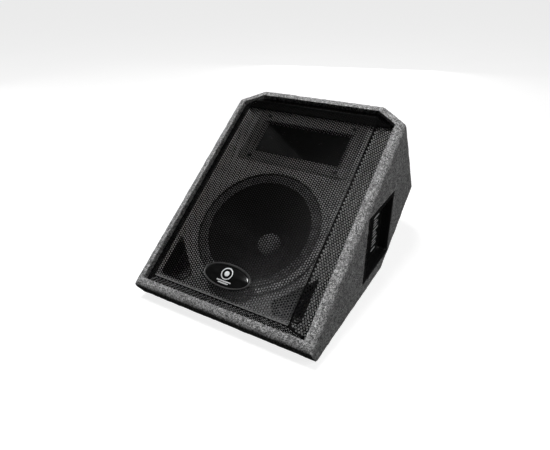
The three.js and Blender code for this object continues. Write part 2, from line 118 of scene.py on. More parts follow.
class Graph:
    """A small builder for one material's nodes. Colours are linear RGB."""

    def __init__(self, name):
        self.material = bpy.data.materials.new(name)
        self.material.use_nodes = True
        self.nodes = self.material.node_tree.nodes
        self.links = self.material.node_tree.links
        self.shader = self.nodes["Principled BSDF"]
        self.place = self.nodes.new("ShaderNodeTexCoord").outputs["Object"]

    def link(self, source, target):
        self.links.new(source, target)

    def fixed(self, **values):
        for key, value in values.items():
            self.shader.inputs[key.replace("_", " ")].default_value = value

    def texture(self, kind, stretch, **values):
        """A texture node in object coordinates, stretched if asked."""
        node = self.nodes.new("ShaderNodeTex" + kind)
        place = self.place
        if stretch:
            mapping = self.nodes.new("ShaderNodeMapping")
            mapping.inputs["Scale"].default_value = stretch
            self.link(place, mapping.inputs["Vector"])
            place = mapping.outputs["Vector"]
        self.link(place, node.inputs["Vector"])
        for key, value in values.items():
            node.inputs[key].default_value = value
        return node

    def noise(self, scale, detail=3, rough=0.6, stretch=None, distortion=0.0):
        node = self.texture("Noise", stretch, Scale=scale, Detail=detail, Roughness=rough,
                            Distortion=distortion)
        return node.outputs["Fac"]

    def cells(self, scale, feature="F1", stretch=None):
        node = self.texture("Voronoi", stretch, Scale=scale)
        node.feature = feature
        return node.outputs["Distance"]

    def wave(self, scale, direction, distortion=0.0, stretch=None):
        node = self.texture("Wave", stretch, Scale=scale, Distortion=distortion)
        node.bands_direction = direction
        return node.outputs["Fac"]

    def ramp(self, value, *stops):
        node = self.nodes.new("ShaderNodeValToRGB")
        ramp = node.color_ramp
        while len(ramp.elements) < len(stops):
            ramp.elements.new(0.5)
        for element, (position, colour) in zip(ramp.elements, stops):
            element.position = position
            grey = colour if isinstance(colour, tuple) else (colour, colour, colour)
            element.color = (*grey, 1)
        self.link(value, node.inputs["Fac"])
        return node.outputs["Color"]

    def feed(self, sockets, values):
        """Sets each socket to its number or colour, or links it to another node's output."""
        for socket, value in zip(sockets, values):
            if isinstance(value, (int, float)):
                socket.default_value = value
            elif isinstance(value, tuple):
                socket.default_value = (*value, 1)
            else:
                self.link(value, socket)

    def maths(self, operation, a, b):
        node = self.nodes.new("ShaderNodeMath")
        node.operation = operation
        self.feed(node.inputs, (a, b))
        return node.outputs[0]

    def blend(self, a, share, b):
        """The mean of a and b, with a's share of it given."""
        return self.maths("ADD", self.maths("MULTIPLY", a, share),
                          self.maths("MULTIPLY", b, 1 - share))

    def mix(self, factor, a, b, blend="MIX"):
        node = self.nodes.new("ShaderNodeMix")
        node.data_type = "RGBA"
        node.blend_type = blend
        self.feed((node.inputs[0], node.inputs[6], node.inputs[7]), (factor, a, b))
        return node.outputs[2]

    def colour(self, source):
        self.link(source, self.shader.inputs["Base Color"])

    def roughness(self, value, low, high):
        node = self.nodes.new("ShaderNodeMapRange")
        node.inputs["To Min"].default_value = low
        node.inputs["To Max"].default_value = high
        self.link(value, node.inputs["Value"])
        self.link(node.outputs["Result"], self.shader.inputs["Roughness"])

    def bump(self, *layers):
        """Each layer is (height source, strength, distance in metres)."""
        normal = None
        for height, strength, distance in layers:
            node = self.nodes.new("ShaderNodeBump")
            node.inputs["Strength"].default_value = strength
            node.inputs["Distance"].default_value = distance
            self.link(height, node.inputs["Height"])
            if normal is not None:
                self.link(normal, node.inputs["Normal"])
            normal = node.outputs["Normal"]
        self.link(normal, self.shader.inputs["Normal"])

    def made(self, cloud, dark, light, roughness, *bumps):
        """The usual finish: a tone from dark to light over a cloud, a roughness range, bumps."""
        self.colour(self.ramp(cloud, (0.3, dark), (0.7, light)))
        self.roughness(*roughness)
        self.bump(*bumps)
        return self.material


def carpet_material():
    g = Graph("carpet")
    fibres = g.noise(480, 2, 0.7)
    tufts = g.noise(230, 3, 0.6, distortion=1.0)
    base = g.ramp(g.blend(fibres, 0.45, tufts),
                  (0.38, 0.04), (0.46, 0.16), (0.54, 0.4), (0.62, 0.82))
    patches = g.ramp(g.noise(38, 3, 0.55), (0.3, 0.8), (0.7, 1.0))
    flecks = g.ramp(g.cells(420), (0.1, 1.0), (0.28, 0.0))
    g.colour(g.mix(g.maths("MULTIPLY", flecks, 0.2), g.mix(1.0, base, patches, "MULTIPLY"),
                   (0.7, 0.7, 0.71)))
    g.fixed(Roughness=0.96, Sheen_Weight=0.15, Sheen_Roughness=0.6, Specular_IOR_Level=0.08)
    g.bump((tufts, 0.5, 0.0007), (fibres, 0.6, 0.0004))
    return g.material


def painted_sheet(name, grey, low, high, peel=0.25, shine=0.5):
    """Powder coat: fine orange peel, slightly uneven gloss."""
    g = Graph(name)
    g.fixed(Specular_IOR_Level=shine)
    return g.made(g.noise(30, 3, 0.6), grey * 0.8, grey * 1.2, (g.noise(60, 4, 0.6), low, high),
                  (g.noise(900, 2, 0.5), peel, 0.0002))


def textured_paint():
    """Grey paint with the coarse spatter that is sprayed on loudspeaker baffles."""
    g = Graph("textured_paint")
    fine = g.noise(1300, 2, 0.6)
    return g.made(g.noise(24, 4, 0.6), 0.32, 0.42, (fine, 0.45, 0.75),
                  (g.cells(420, "SMOOTH_F1"), 0.5, 0.0006), (fine, 0.3, 0.0002))


def moulded(name, grey, low=0.38, high=0.6, grain=1500, shine=0.5):
    """Injection-moulded plastic: fine spark-eroded grain, faint flow marks and handling scuffs."""
    g = Graph(name)
    g.fixed(Specular_IOR_Level=shine)
    flow = g.noise(14, 3, 0.5, distortion=0.8)
    scuff = g.noise(70, 5, 0.7, stretch=(1, 6, 1))
    tone = g.ramp(flow, (0.3, grey * 0.85), (0.7, grey * 1.15))
    worn = g.ramp(scuff, (0.66, 0.0), (0.78, 1.0))
    g.colour(g.mix(g.maths("MULTIPLY", worn, 0.25), tone, (grey * 2.4,) * 3))
    g.roughness(g.blend(flow, 0.5, scuff), low, high)
    g.bump((g.cells(grain, "SMOOTH_F1"), 0.3, 0.00012))
    return g.material


def gloss_black():
    g = Graph("gloss_black")
    smear = g.noise(45, 4, 0.6, stretch=(1, 3, 1))
    g.colour(g.ramp(smear, (0.35, 0.004), (0.75, 0.009)))
    g.roughness(smear, 0.08, 0.18)
    g.fixed(Coat_Weight=0.5, Coat_Roughness=0.06, Specular_IOR_Level=0.3)
    g.bump((g.noise(22, 2, 0.5), 0.06, 0.0004))
    return g.material


def brushed(name, colour, low, high, stretch=(1, 1, 60), metallic=1.0):
    g = Graph(name)
    lines = g.noise(260, 4, 0.7, stretch=stretch)
    dark = tuple(c * 0.75 for c in colour)
    g.colour(g.ramp(g.blend(lines, 0.5, g.noise(40, 3, 0.6)), (0.35, dark), (0.65, colour)))
    g.roughness(lines, low, high)
    g.fixed(Metallic=metallic)
    g.bump((lines, 0.12, 0.0001))
    return g.material


def paper():
    """Pressed pulp: matted fibres, darker doped patches."""
    g = Graph("paper_pulp")
    mat = g.noise(520, 4, 0.7, distortion=1.2)
    pulp = g.blend(g.cells(900, stretch=(1, 0.35, 1)), 0.4, mat)
    tone = g.ramp(pulp, (0.3, 0.005), (0.7, 0.018))
    cloud = g.ramp(g.noise(35, 3, 0.6), (0.3, 0.55), (0.7, 1.0))
    g.colour(g.mix(0.5, tone, cloud, "MULTIPLY"))
    g.roughness(mat, 0.34, 0.46)
    g.fixed(Specular_IOR_Level=0.3)
    g.bump((pulp, 0.3, 0.0003))
    return g.material


def cap_paper():
    g = Graph("cap_paper")
    mat = g.noise(700, 4, 0.7)
    return g.made(mat, 0.14, 0.26, (mat, 0.5, 0.7), (mat, 0.4, 0.0003))


def doped_cloth():
    """Woven cloth under a rubbery dope that fills most of the weave."""
    g = Graph("doped_cloth")
    weave = g.maths("MULTIPLY", g.wave(260, "X"), g.wave(260, "Y"))
    dope = g.noise(60, 4, 0.6)
    return g.made(dope, 0.13, 0.23, (dope, 0.3, 0.5), (weave, 0.35, 0.0003),
                  (g.noise(500, 2), 0.2, 0.0002))


def rubber(name, dark, light):
    g = Graph(name)
    bloom = g.noise(50, 4, 0.65)
    return g.made(bloom, dark, light, (bloom, 0.6, 0.85), (g.noise(1100, 2), 0.3, 0.0002))


def open_foam():
    """Black open-cell foam: pits between fine struts."""
    g = Graph("open_foam")
    pits = g.cells(900, "SMOOTH_F1")
    struts = g.noise(1600, 3, 0.7)
    g.colour(g.ramp(pits, (0.2, 0.003), (0.7, 0.012)))
    g.roughness(struts, 0.9, 1.0)
    g.fixed(Specular_IOR_Level=0.1)
    g.bump((pits, 0.7, 0.0006), (struts, 0.4, 0.0003))
    return g.material


def ferrite():
    g = Graph("ferrite")
    cloud = g.noise(80, 5, 0.7)
    return g.made(cloud, 0.03, 0.065, (cloud, 0.5, 0.75), (g.cells(1400), 0.4, 0.0002),
                  (cloud, 0.3, 0.0006))


def copper_winding(name, across):
    """Enamelled wire: parallel turns, each catching the light."""
    g = Graph(name)
    turns = g.wave(190, across)
    g.colour(g.ramp(turns, (0.0, (0.11, 0.03, 0.012)), (1.0, (0.62, 0.24, 0.09))))
    g.roughness(g.noise(90, 3), 0.22, 0.4)
    g.fixed(Metallic=0.9, Coat_Weight=0.4)
    g.bump((turns, 0.6, 0.0004))
    return g.material


def softwood():
    g = Graph("softwood")
    rings = g.wave(55, "Y", 5.0, stretch=(0.12, 1, 1))
    pores = g.noise(500, 3, 0.6, stretch=(0.05, 1, 1))
    g.colour(g.mix(0.35, g.ramp(rings, (0.1, (0.42, 0.25, 0.11)), (0.9, (0.64, 0.44, 0.23))),
                   g.ramp(pores, (0.3, 0.5), (0.6, 1.0)), "MULTIPLY"))
    g.roughness(pores, 0.6, 0.8)
    g.bump((pores, 0.3, 0.0003))
    return g.material


def circuit_board():
    g = Graph("fibre_board")
    glass = g.maths("MULTIPLY", g.wave(380, "X"), g.wave(380, "Z"))
    tracks = g.cells(55, "DISTANCE_TO_EDGE")
    lacquer = g.ramp(glass, (0.0, (0.01, 0.055, 0.02)), (1.0, (0.016, 0.085, 0.03)))
    g.colour(g.mix(g.ramp(tracks, (0.05, 0.35), (0.08, 0.0)), lacquer, (0.05, 0.2, 0.08)))
    g.roughness(glass, 0.3, 0.45)
    g.bump((tracks, 0.2, 0.0002))
    return g.material


CARPET = carpet_material()
COAT = painted_sheet("powder_coat", 0.022, 0.3, 0.48)
DISH_COAT = painted_sheet("dish_coat", 0.007, 0.35, 0.5, 0.25, 0.25)
GRILLE_COAT = painted_sheet("grille_coat", 0.0012, 0.22, 0.3, 0.05, 0.04)
PAINT = textured_paint()
PLASTIC = moulded("black_plastic", 0.012, shine=0.3)
# The horn's two plastics are lit and shaded copies of one moulding: the grey is painted light on the
# flange, the near black is painted shade in the flare.
HORN_SHADED_PLASTIC = moulded("horn_plastic_painted_shade", 0.008, 0.17, 0.25, 1100, 0.6)
HORN_LIT_PLASTIC = moulded("horn_plastic_painted_lit", 0.2, 0.3, 0.44, 1100, 0.4)
DISH_PLASTIC = moulded("dish_plastic", 0.008, 0.22, 0.34, 1500, 0.6)
SOCKET_PLASTIC = moulded("socket_plastic", 0.012, 0.2, 0.36, 2200)
GREY_PLASTIC = moulded("grey_plastic", 0.16, 0.3, 0.45)
WHITE_PRINT = moulded("white_print", 0.85, 0.5, 0.65, 2600)
GLOSS = gloss_black()
SILVER = brushed("satin_silver", (0.82, 0.83, 0.84), 0.3, 0.42, stretch=(40, 1, 1), metallic=0.35)
RIM_PLASTIC = moulded("badge_rim", 0.05, 0.3, 0.4, 2400)
STEEL = brushed("zinc_steel", (0.5, 0.51, 0.53), 0.24, 0.42)
BLACK_STEEL = brushed("black_steel", (0.045, 0.045, 0.05), 0.25, 0.42, metallic=0.8)
BRASS = brushed("nickel_contact", (0.66, 0.62, 0.52), 0.2, 0.35)
PAPER = paper()
CAP_PAPER = cap_paper()
CLOTH = doped_cloth()
RUBBER = rubber("rubber", 0.014, 0.035)
GASKET = rubber("gasket_cork", 0.34, 0.5)
FERRITE = ferrite()
FOAM = open_foam()
WINDING = copper_winding("copper_winding", "Z")
COIL_WINDING = copper_winding("crossover_winding", "DIAGONAL")
WOOD = softwood()
BOARD = circuit_board()


# -------- mesh helpers

def new_piece(name, points, faces, material, slot, body=CABINET, replaces=(), row_frame=False,
              smooth_angle=40):
    """A mesh from points in millimetres, in the baffle's frame or in the row frame."""
    mesh = bpy.data.meshes.new(name)
    mesh.from_pydata([tuple(c / 1000 for c in p) for p in points], [], faces)
    if not row_frame:
        mesh.transform(TO_ROW)
    piece = add_object(name, mesh)
    finish_mesh(piece, smooth_angle)
    mesh.materials.append(material)
    if body:
        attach(piece, body)
    if replaces:
        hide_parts(*replaces)
    return piece


def finish_mesh(piece, smooth_angle=40):
    """Merges doubles, turns the faces outwards and keeps edges sharper than the angle."""
    work = bmesh.new()
    work.from_mesh(piece.data)
    bmesh.ops.remove_doubles(work, verts=work.verts, dist=2e-6)
    bmesh.ops.recalc_face_normals(work, faces=work.faces)
    limit = math.radians(smooth_angle)
    for face in work.faces:
        face.smooth = True
    for edge in work.edges:
        edge.smooth = len(edge.link_faces) == 2 and edge.calc_face_angle(0) <= limit
    work.to_mesh(piece.data)
    work.free()


def apply_modifiers(piece):
    """Replaces the mesh with the modified one, so nothing is left to evaluate."""
    graph = bpy.context.evaluated_depsgraph_get()
    mesh = bpy.data.meshes.new_from_object(piece.evaluated_get(graph))
    old = piece.data
    piece.modifiers.clear()
    piece.data = mesh
    mesh.name = old.name
    bpy.data.meshes.remove(old)


def grid_faces(rows, columns, closed=False):
    """Quads over rings of points numbered ring by ring, the last joined to the first if closed."""
    faces = []
    for i in range(rows if closed else rows - 1):
        here, there = i * columns, (i + 1) % rows * columns
        for j in range(columns):
            after = (j + 1) % columns
            faces.append((here + j, here + after, there + after, there + j))
    return faces


def filled(loops):
    """Triangles over flat loops of 2-D points, the first round the others, as point numbers."""
    return tessellate_polygon([[Vector((x, y, 0)) for x, y in loop] for loop in loops])


def at_depth(outline, depth):
    return [(x, y, -depth) for x, y in outline]


def oval(half_x, half_y, x=0, y=0, segments=48):
    turns = [2 * math.pi * k / segments for k in range(segments)]
    return [(x + half_x * math.cos(turn), y + half_y * math.sin(turn)) for turn in turns]


def circle(radius, x=0, y=0, segments=48):
    return oval(radius, radius, x, y, segments)


def turned(name, profile, material, slot, segments=144, closed=True, **options):
    """A solid turned about the woofer's axis, from (radius, depth) pairs.

    A closed profile makes a ring, an open one starts and ends on the axis.
    """
    drawn = profile if closed else profile[1:-1]
    points = []
    for radius, depth in drawn:
        points += at_depth(circle(radius, 0, WOOFER_HEIGHT, segments), depth)
    faces = grid_faces(len(drawn), segments, closed)
    if not closed:
        first = len(points)
        points += [(0, WOOFER_HEIGHT, -profile[0][1]), (0, WOOFER_HEIGHT, -profile[-1][1])]
        top = first - segments
        for k in range(segments):
            after = (k + 1) % segments
            faces += [(after, k, first), (top + k, top + after, first + 1)]
    return new_piece(name, points, faces, material, slot, **options)


def inset(points, distance):
    """Moves every edge of a counter-clockwise outline inwards."""
    count = len(points)
    lines = []
    for i, (x, y) in enumerate(points):
        nx, ny = points[(i + 1) % count]
        length = math.hypot(nx - x, ny - y)
        dx, dy = (nx - x) / length, (ny - y) / length
        lines.append(((x - dy * distance, y + dx * distance), (dx, dy)))
    result = []
    for i, (point, along) in enumerate(lines):
        before, before_along = lines[i - 1]
        cross = before_along[0] * along[1] - before_along[1] * along[0]
        dx, dy = point[0] - before[0], point[1] - before[1]
        t = (dx * along[1] - dy * along[0]) / cross
        result.append((before[0] + before_along[0] * t, before[1] + before_along[1] * t))
    return result


def rounded(points, radius, steps=6):
    """An outline whose corners are drawn as circular arcs."""
    result = []
    count = len(points)
    for i, corner in enumerate(points):
        here = Vector(corner)
        to_before = (Vector(points[i - 1]) - here).normalized()
        to_after = (Vector(points[(i + 1) % count]) - here).normalized()
        half = to_before.angle(to_after) / 2
        reach = radius / math.tan(half)
        middle = here + (to_before + to_after).normalized() * (radius / math.sin(half))
        start = here + to_before * reach - middle
        end = here + to_after * reach - middle
        for k in range(steps + 1):
            t = k / steps
            along = (start * (1 - t) + end * t).normalized() * radius
            result.append(tuple(middle + along))
    return result


def rectangle(low_x, low_y, high_x, high_y):
    return [(low_x, low_y), (high_x, low_y), (high_x, high_y), (low_x, high_y)]


def extent(outline):
    """Lowest x and y and highest x and y, in the order rectangle() takes them."""
    return [pick(p[k] for p in outline) for pick in (min, max) for k in (0, 1)]


def skin(name, rings, material, slot, closed=True, **options):
    """A skin through matching rings of 3-D points, closed on itself or capped at both ends."""
    count = len(rings[0])
    faces = grid_faces(len(rings), count, closed)
    if not closed:
        faces.append(tuple(reversed(range(count))))
        faces.append(tuple(range((len(rings) - 1) * count, len(rings) * count)))
    points = [p for ring in rings for p in ring]
    return new_piece(name, points, faces, material, slot, **options)


FRONT_OUTLINE = [
    (HALF_WIDTH, 0),
    (HALF_WIDTH, LENGTH - CORNER_RISE),
    (HALF_WIDTH - CORNER_RUN, LENGTH),
    (CORNER_RUN - HALF_WIDTH, LENGTH),
    (-HALF_WIDTH, LENGTH - CORNER_RISE),
    (-HALF_WIDTH, 0),
]
OPENING = inset(FRONT_OUTLINE, WALL)


# -------- carpeted cabinet

CARPET_GRAIN = 0.0032               # metres, the size of the cells the carpet is remeshed with
CAVITY_FRONT = -30                  # depth at which the cavity's cutter starts, in front of it all


def cabinet_solid(outline, depths, floor_offset):
    """A bmesh prism of the outline between two depths, cut off above the floor by the offset."""
    work = bmesh.new()
    front = [work.verts.new((x, y, -depths[0])) for x, y in outline]
    back = [work.verts.new((x, y, -depths[1])) for x, y in outline]
    work.faces.new(front)
    work.faces.new(list(reversed(back)))
    for i in range(len(outline)):
        j = (i + 1) % len(outline)
        work.faces.new((front[j], front[i], back[i], back[j]))
    bmesh.ops.recalc_face_normals(work, faces=work.faces)
    down = Vector((0, -math.sin(BAFFLE_ANGLE), -math.cos(BAFFLE_ANGLE)))
    cut = bmesh.ops.bisect_plane(work, geom=work.verts[:] + work.edges[:] + work.faces[:],
                                 plane_co=Vector((0, 0, -TOE_DEPTH)) - down * floor_offset,
                                 plane_no=down, clear_outer=True)
    rim = [e for e in cut["geom_cut"] if isinstance(e, bmesh.types.BMEdge)]
    bmesh.ops.edgenet_fill(work, edges=rim)
    bmesh.ops.recalc_face_normals(work, faces=work.faces)
    return work


def helper_object(name, work):
    mesh = bpy.data.meshes.new(name)
    work.to_mesh(mesh)
    work.free()
    return add_object(name, mesh)


def box_work(low, high):
    """A bmesh box between two corners in millimetres."""
    work = bmesh.new()
    bmesh.ops.create_cube(work, size=1)
    for vert in work.verts:
        for axis in range(3):
            vert.co[axis] = (low[axis] if vert.co[axis] < 0 else high[axis]) / 1000
    return work


def subtract(piece, cutters):
    for cutter in cutters:
        modifier = piece.modifiers.new("cut", "BOOLEAN")
        modifier.operation = "DIFFERENCE"
        modifier.solver = "EXACT"
        modifier.object = cutter
    bpy.context.view_layer.update()
    apply_modifiers(piece)
    for cutter in cutters:
        bpy.data.objects.remove(cutter)


def carpeted_cabinet():
    """One continuous carpet-covered shell: rounded round the front, folded over the other edges."""
    outside = cabinet_solid(FRONT_OUTLINE, (0, DEPTH), 0)
    front_edges = [e for e in outside.edges if all(abs(v.co.z) < 1e-4 for v in e.verts)]
    bmesh.ops.bevel(outside, geom=front_edges, offset=FRONT_ROUNDING, segments=8, profile=0.5,
                    affect="EDGES", clamp_overlap=False)
    shell = helper_object("cabinet_carpet", outside)
    shell.data.transform(Matrix.Scale(0.001, 4))
    remesh = shell.modifiers.new("remesh", "REMESH")
    remesh.mode = "VOXEL"
    remesh.voxel_size = CARPET_GRAIN
    apply_modifiers(shell)

    # The pile rises and falls a little, round a level 0.6 mm under the nominal face.
    count = len(shell.data.vertices)
    place = np.empty(count * 3)
    shell.data.vertices.foreach_get("co", place)
    place = place.reshape(-1, 3)
    facing = np.empty(count * 3)
    shell.data.vertex_normals.foreach_get("vector", facing)
    lift = np.array([0.0007 * noise.noise(Vector(p) * 45) + 0.0005 * noise.noise(Vector(p) * 160)
                     for p in place]) - 0.0006
    place += facing.reshape(-1, 3) * lift[:, None]
    shell.data.vertices.foreach_set("co", place.ravel())

    inside = cabinet_solid(inset(FRONT_OUTLINE, WALL), (CAVITY_FRONT, DEPTH - WALL), WALL)
    cavity = helper_object("cavity", inside)
    cavity.data.transform(Matrix.Scale(0.001, 4))
    subtract(shell, [cavity])

    # A rebate for the dish's flange and a hole for its tray: half size, and reach in and out.
    shell.data.transform(TO_ROW)
    cutters = []
    for name, half, inward, outward in (("rebate", 82.8, 2.8, 9), ("hole", 72.8, 30, 12)):
        low = (HALF_WIDTH - inward, DISH_Y - half, DISH_Z - half)
        high = (HALF_WIDTH + outward, DISH_Y + half, DISH_Z + half)
        cutters.append(helper_object(name, box_work(low, high)))
    subtract(shell, cutters)
    shell.data.materials.clear()
    shell.data.materials.append(CARPET)
    finish_mesh(shell, 38)
    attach(shell, CABINET)
    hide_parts("right_side_panel", "left_side_panel", "top_panel", "right_corner_panel",
                "left_corner_panel", "toe_panel", "floor_panel", "back_panel")


carpeted_cabinet()

# -------- perforated grille

GRILLE_TOP = [(164, 31.5), (164, 524), (157, 530), (-157, 530), (-164, 524), (-164, 31.5)]
GRILLE_BASE = inset(OPENING, 0.8)
GRILLE_FACE = 14                    # heights of the flat face and of the flanges' feet
GRILLE_FOOT = -13
SHEET = 1.0
FOLD = 1.2
FOLD_STEPS = 4
FACE_COLUMNS = 63.5                 # hole columns across the flat face, with its plain edges
FACE_ROW = 5.8
FACE_HOLE = 2.05
FLANGE_COLUMN = 5.1
FLANGE_ROW = 6.9                    # the pitch aimed at, fitted to each flange's height
FLANGE_HOLE = 2.3
ROUND_ROW = 5.7                     # the pitch at which a flange's holes would be round
NET_MARGIN = 0.2


def bilinear(corners, s, t):
    """The point at (s, t) between four corners: base start, base end, top end, top start."""
    a, b, c, d = corners
    low = a.lerp(b, s)
    high = d.lerp(c, s)
    return low.lerp(high, t)


def perforated(corners, column, row, hole, mesh_points, mesh_faces, outline=None, stretch=1.0):
    """Fills a flat panel with a staggered net of holes, and a plain edge round it.

    corners are the panel's four 3-D corners. A panel with more edges gives its outline in
    the plane, and the corners are then those of the rectangle round it. column is from column
    to column, row from hole to hole in a column, and stretch lengthens holes that way.
    """
    a, b, _, d = corners
    along = (b - a).normalized()
    across = ((d - a) - along * (d - a).dot(along)).normalized()
    if outline is None:
        outline = quad = [((p - a).dot(along), (p - a).dot(across)) for p in corners]

        def lift(x, y):
            t = y / quad[3][1]
            left = quad[3][0] * t
            right = quad[1][0] + (quad[2][0] - quad[1][0]) * t
            return bilinear(corners, (x - left) / (right - left), t)
    else:
        def lift(x, y):
            return a + along * x + across * y

    limit = inset(outline, NET_MARGIN)
    edges = []
    for i, start in enumerate(limit):
        p, q = Vector(start), Vector(limit[(i + 1) % len(limit)])
        step = (q - p).normalized()
        edges.append((p, Vector((-step.y, step.x))))

    def inside(x, y):
        return all((Vector((x, y)) - p).dot(n) > 0 for p, n in edges)

    cell = [(2 / 3, 0), (1 / 3, 0.5), (-1 / 3, 0.5), (-2 / 3, 0), (-1 / 3, -0.5), (1 / 3, -0.5)]
    low_x, low_y, high_x, high_y = extent(outline)
    columns = int((high_x - low_x) / column) + 3
    rows = int((high_y - low_y) / row) + 3
    corner_index = {}
    rim = {}

    def point(x, y):
        mesh_points.append(tuple(lift(x, y)))
        return len(mesh_points) - 1

    def corner(x, y):
        key = (round(x * 50), round(y * 50))
        if key not in corner_index:
            corner_index[key] = (point(x, y), (x, y))
        return corner_index[key]

    for i in range(-columns // 2, columns // 2 + 1):
        for j in range(-rows // 2, rows // 2 + 1):
            x = (low_x + high_x) / 2 + i * column
            y = (low_y + high_y) / 2 + (j + (0.25 if i % 2 else -0.25)) * row
            hexagon = [(x + u * column, y + v * row) for u, v in cell]
            if not all(inside(*p) for p in hexagon):
                continue
            outer = [corner(*p) for p in hexagon]
            ring = []
            for k, (hx, hy) in enumerate(hexagon):
                nx, ny = hexagon[(k + 1) % 6]
                for mx, my in ((hx, hy), ((hx + nx) / 2, (hy + ny) / 2)):
                    dx, dy = mx - x, (my - y) / stretch
                    reach = math.hypot(dx, dy)
                    ring.append(point(x + dx / reach * hole, y + dy / reach * hole * stretch))
            for k in range(6):
                start, end = outer[k], outer[(k + 1) % 6]
                mesh_faces.append((start[0], end[0], ring[(2 * k + 2) % 12],
                                   ring[2 * k + 1], ring[2 * k]))
                if (end[0], start[0]) in rim:
                    del rim[(end[0], start[0])]
                else:
                    rim[(start[0], end[0])] = start

    # The net's free edges are walked into loops, and the plain edge fills round them.
    follow = {}
    for edge in rim:
        follow.setdefault(edge[0], []).append(edge)
    loops = [[(point(x, y), (x, y)) for x, y in outline]]
    while rim:
        edge = next(iter(rim))
        loop = []
        while edge:
            loop.append(rim.pop(edge))
            edge = next((e for e in follow[edge[1]] if e in rim), None)
        loops.append(loop)
    numbering = [index for loop in loops for index, _ in loop]
    for triangle in filled([[place for _, place in loop] for loop in loops]):
        mesh_faces.append(tuple(numbering[k] for k in triangle))


def grille():
    points, faces = [], []
    top_flat = inset(GRILLE_TOP, FOLD)
    base = [Vector((x, y, GRILLE_FOOT)) for x, y in GRILLE_BASE]
    top = [Vector((x, y, GRILLE_FACE)) for x, y in GRILLE_TOP]
    face = [Vector((x, y, GRILLE_FACE)) for x, y in top_flat]
    shoulder = [t + (b - t).normalized() * FOLD * 1.3 for t, b in zip(top, base)]

    # Flat face: holes in columns up the baffle.
    low_x, low_y, high_x, high_y = extent(top_flat)
    around = [Vector((x, y, GRILLE_FACE)) for x, y in rectangle(low_x, low_y, high_x, high_y)]
    outline = [(x - low_x, y - low_y) for x, y in top_flat]
    perforated(around, (high_x - low_x) / FACE_COLUMNS, FACE_ROW, FACE_HOLE, points, faces, outline)

    # Sloping flanges, each joined to the face by a rounded fold.
    count = len(base)
    for i in range(count):
        j = (i + 1) % count
        edge = (base[j] - base[i]).normalized()
        slope = shoulder[i] - base[i]
        height = (slope - edge * slope.dot(edge)).length
        row = (height - 0.5) / (round(height / FLANGE_ROW - 0.5) + 0.5)
        perforated([base[i], base[j], shoulder[j], shoulder[i]], FLANGE_COLUMN, row, FLANGE_HOLE,
                   points, faces, stretch=row / ROUND_ROW)
        previous = (shoulder[i], shoulder[j])
        for k in range(1, FOLD_STEPS + 1):
            t = k / FOLD_STEPS
            ring = []
            for corner in (i, j):
                a, b, c = shoulder[corner], top[corner], face[corner]
                ring.append(a * (1 - t) ** 2 + b * 2 * t * (1 - t) + c * t ** 2)
            start = len(points)
            points.extend(tuple(p) for p in (previous[0], previous[1], ring[1], ring[0]))
            faces.append((start, start + 1, start + 2, start + 3))
            previous = ring
    sheet = new_piece("grille_sheet", points, faces, GRILLE_COAT, "black_metal",
                      replaces=("front_grille",), smooth_angle=50)
    thick = sheet.modifiers.new("thickness", "SOLIDIFY")
    thick.thickness = SHEET / 1000
    thick.offset = -1
    apply_modifiers(sheet)


grille()


# -------- woofer

# Gasket: rubber ring with a raised inner bead.
turned("gasket_ring", [
    (153.6, 9.7), (153.6, 7.8), (153.0, 7.1), (152.0, 6.8), (146.5, 6.8), (145.9, 7.4),
    (145.2, 7.4), (144.6, 6.8), (142.0, 6.8), (141.0, 7.1), (140.6, 7.8), (140.6, 9.7),
], GASKET, "rubber", replaces=("woofer_gasket",))

# Basket: rim, bowl and floor, with three slots cut right across it that leave six spokes.
basket = turned("basket_frame", [
    (154, 10), (154, 13.7), (142.5, 13.7), (142.5, 22), (118, 48), (96, 72), (74, 99), (70, 107),
    (38, 107), (38, 104), (68, 104), (71.5, 97), (93, 71.4), (115, 47), (139.5, 21),
    (139.5, 10.8), (140.2, 10),
], COAT, "black_metal", segments=120, replaces=("woofer_basket",))
cutters = []
for turn in (30, 90, 150):
    work = box_work((-165, -29, -90), (165, 29, -34))
    work.transform(Matrix.Rotation(math.radians(turn), 4, "Z"))
    work.transform(Matrix.Translation((0, WOOFER_HEIGHT / 1000, 0)))
    work.transform(TO_ROW)
    cutters.append(helper_object("window", work))
subtract(basket, cutters)
finish_mesh(basket)


def corrugated(inner, outer, depth, height, waves, sheet, steps_per_wave=12):
    """A pleated ring as a closed profile, like a surround or a spider."""
    steps = waves * steps_per_wave
    front = []
    for k in range(steps + 1):
        t = k / steps
        swell = math.sin(t * waves * 2 * math.pi) * height / 2
        front.append((inner + (outer - inner) * t, depth - swell))
    back = [(r, d + sheet) for r, d in reversed(front)]
    return front + back


def flexing(piece):
    """Bakes the piece's placement into its mesh; the piece is left on no body."""
    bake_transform(piece)


surround = turned("surround", corrugated(117.9, 138.2, 12.4, 4.2, 3, 0.9), CLOTH,
                  "treated_cloth", body=None, segments=180, replaces=("woofer_surround",),
                  smooth_angle=70)
flexing(surround)
spider = turned("spider_cloth", corrugated(27.2, 66, 99.5, 3, 5, 0.8, 8), CLOTH,
                "treated_cloth", body=None, segments=96, replaces=("spider",), smooth_angle=70)
flexing(spider)

CONE_RIM, CONE_NECK = 117.5, 28.0
CONE_RIM_DEPTH, CONE_NECK_DEPTH = 13.6, 92.0
CONE_SHEET = 1.6
CONE_BULGE = 5
CONE_RIBS = (104, 88, 72, 56)       # radii of the pressed ribs
CAP_RADIUS, CAP_DEPTH, CAP_RISE = 27.4, 89.2, 11


def cone_profile():
    """A slightly bulging paper cone with pressed ribs."""
    front = []
    for k in range(61):
        t = k / 60
        radius = CONE_RIM + (CONE_NECK - CONE_RIM) * t
        straight = CONE_RIM_DEPTH + (CONE_NECK_DEPTH - CONE_RIM_DEPTH) * t
        ribs = sum(math.exp(-((radius - r) / 1.3) ** 2) for r in CONE_RIBS)
        front.append((radius, straight - math.sin(t * math.pi) * CONE_BULGE - 0.7 * ribs))
    return front + [(r, d + CONE_SHEET) for r, d in reversed(front)]


